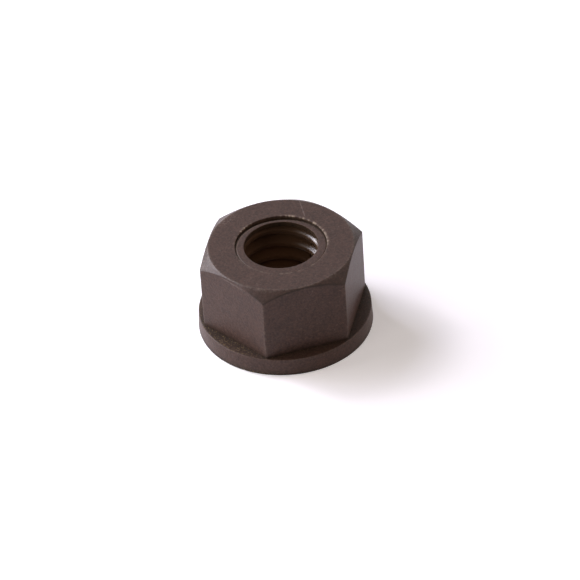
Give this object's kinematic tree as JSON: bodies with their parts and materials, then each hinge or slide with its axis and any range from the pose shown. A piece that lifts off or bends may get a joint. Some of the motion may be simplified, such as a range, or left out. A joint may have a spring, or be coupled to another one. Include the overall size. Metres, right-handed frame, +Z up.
{
  "type": "hexagon flange nut",
  "caption": "Moulded nylon hexagon nut with a thin round flange at its foot, a chamfered top and a right-hand threaded through bore.",
  "frame": {"origin": "centre of the bearing face, under the flange, on the bore's axis", "axes": "+Z up the bore from the bearing face to the top face; X is square to two of the hexagon's flats, and Y runs through two of its corners"},
  "size_m": [0.0152, 0.0152, 0.0083],
  "materials": {
    "nylon": "dark warm grey moulded nylon, matte, with a fine grain and light wear at the edges"
  },
  "bodies": {
    "root": {"nut": "nylon"}
  },
  "joints": []
}
